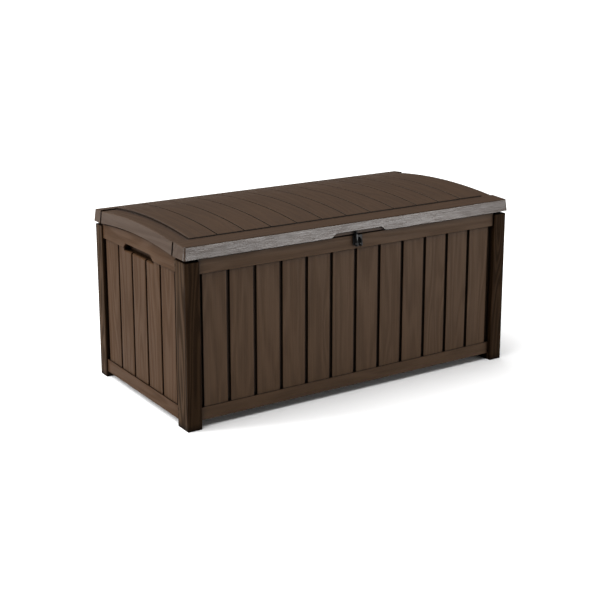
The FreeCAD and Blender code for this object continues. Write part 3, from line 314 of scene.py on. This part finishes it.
pin_steel = brushed_metal("steel_pin", (0.36, 0.36, 0.37), (0.58, 0.58, 0.60), 0.32, "X")
bracket_steel = brushed_metal("steel_bracket", (0.30, 0.30, 0.31), (0.52, 0.52, 0.54), 0.36, "Y")
screw_steel = brushed_metal("steel_screw", (0.34, 0.34, 0.35), (0.58, 0.58, 0.60), 0.28, "X")

BY_SLOT = {
    "inner_resin": inner_resin, "hinge_resin": hinge_resin, "lock_plastic": lock_plastic,
    "socket_plastic": socket_plastic, "strut_black": strut_paint, "rod_chrome": rod_chrome,
    "pin_steel": pin_steel, "bracket_steel": bracket_steel, "screw_steel": screw_steel,
    "lid_resin": lid_resin, "panel_resin": long_resin,
}


def dress_nodes():
    """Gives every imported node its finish."""
    for name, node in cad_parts.items():
        for slot in node.material_slots:
            base = slot.material.name.split(".")[0] if slot.material else ""
            wanted = BY_SLOT.get(base, inner_resin)
            if base == "panel_resin" and name.endswith("_post"):
                wanted = post_resin
            elif base == "panel_resin" and name.startswith(("left", "right")):
                wanted = side_resin
            slot.material = wanted


dress_nodes()


# ---------------------------------------------------------------- floor, light, camera

def floor_material():
    """Pale studio paper, a touch uneven."""
    material, tree, shader = new_material("studio_paper")
    cloud = noise(tree, place(tree)[0], 2.0, 2.0, 0.5)
    tree.links.new(ramp(tree, cloud, [(0.3, (0.93, 0.93, 0.93)), (0.7, (0.95, 0.95, 0.95))]),
                   shader.inputs["Base Color"])
    tree.links.new(smooth(tree, cloud, 0.3, 0.7, 0.9, 0.95), shader.inputs["Roughness"])
    shader.inputs["Specular IOR Level"].default_value = 0.1
    return material


def add_floor():
    """A wide sheet of paper under the box."""
    half = FLOOR_HALF
    mesh = bpy.data.meshes.new("studio_floor")
    corners = [(-half, -half, 0.0), (half, -half, 0.0), (half, half, 0.0), (-half, half, 0.0)]
    mesh.from_pydata(corners, [], [(0, 1, 2, 3)])
    floor = bpy.data.objects.new("studio_floor", mesh)
    bpy.context.scene.collection.objects.link(floor)
    mesh.materials.append(floor_material())


def add_lamp(name, place_at, target, size, power):
    """A rectangular soft light that faces a point."""
    data = bpy.data.lights.new(name, "AREA")
    data.shape = "RECTANGLE"
    data.size, data.size_y = size
    data.energy = power
    lamp = bpy.data.objects.new(name, data)
    lamp.location = place_at
    lamp.rotation_mode = "QUATERNION"
    lamp.rotation_quaternion = (Vector(target) - Vector(place_at)).to_track_quat("-Z", "Y")
    lamp.visible_camera = False
    bpy.context.scene.collection.objects.link(lamp)


def add_sun(direction, strength, spread):
    """A far, very wide soft light, even over the whole floor."""
    data = bpy.data.lights.new("wide_key", "SUN")
    data.energy = strength
    data.angle = math.radians(spread)
    lamp = bpy.data.objects.new("wide_key", data)
    lamp.rotation_mode = "QUATERNION"
    lamp.rotation_quaternion = (-Vector(direction)).to_track_quat("-Z", "Y")
    bpy.context.scene.collection.objects.link(lamp)


def add_world(strength):
    """A dim even surround for the light, and plain white behind everything."""
    world = bpy.data.worlds.new("studio")
    world.use_nodes = True
    tree = world.node_tree
    background = tree.nodes["Background"]
    background.inputs["Color"].default_value = (1.0, 1.0, 1.0, 1.0)
    rays = tree.nodes.new("ShaderNodeLightPath")
    tree.links.new(smooth(tree, rays.outputs["Is Camera Ray"], 0.0, 1.0, strength, 1.0),
                   background.inputs["Strength"])
    bpy.context.scene.world = world


def add_camera():
    """The view from the front left, a little above the lid."""
    data = bpy.data.cameras.new("camera")
    data.sensor_width = 36.0
    data.lens = CAMERA_LENS
    data.shift_y = CAMERA_SHIFT
    data.clip_start = 0.05
    data.clip_end = 400.0
    camera = bpy.data.objects.new("camera", data)
    camera.location = CAMERA_PLACE
    level = math.cos(CAMERA_PITCH)
    aim = Vector((math.sin(CAMERA_YAW) * level, math.cos(CAMERA_YAW) * level, -math.sin(CAMERA_PITCH)))
    camera.rotation_mode = "QUATERNION"
    camera.rotation_quaternion = aim.to_track_quat("-Z", "Y")
    bpy.context.scene.collection.objects.link(camera)
    bpy.context.scene.camera = camera


add_floor()
add_world(SURROUND)
add_sun((-0.32, 0.16, 0.93), 5.2, 80.0)
add_lamp("left_softbox", (-3.6, 0.7, 1.9), (-0.5, 0.0, 0.45), (0.5, 0.5), 55.0)
add_lamp("front_softbox", (2.0, -3.7, 0.42), (0.0, -0.3, 0.35), (2.4, 0.5), 56.0)
add_camera()

bpy.context.scene.view_settings.view_transform = "Standard"
bpy.context.scene.view_settings.look = "None"
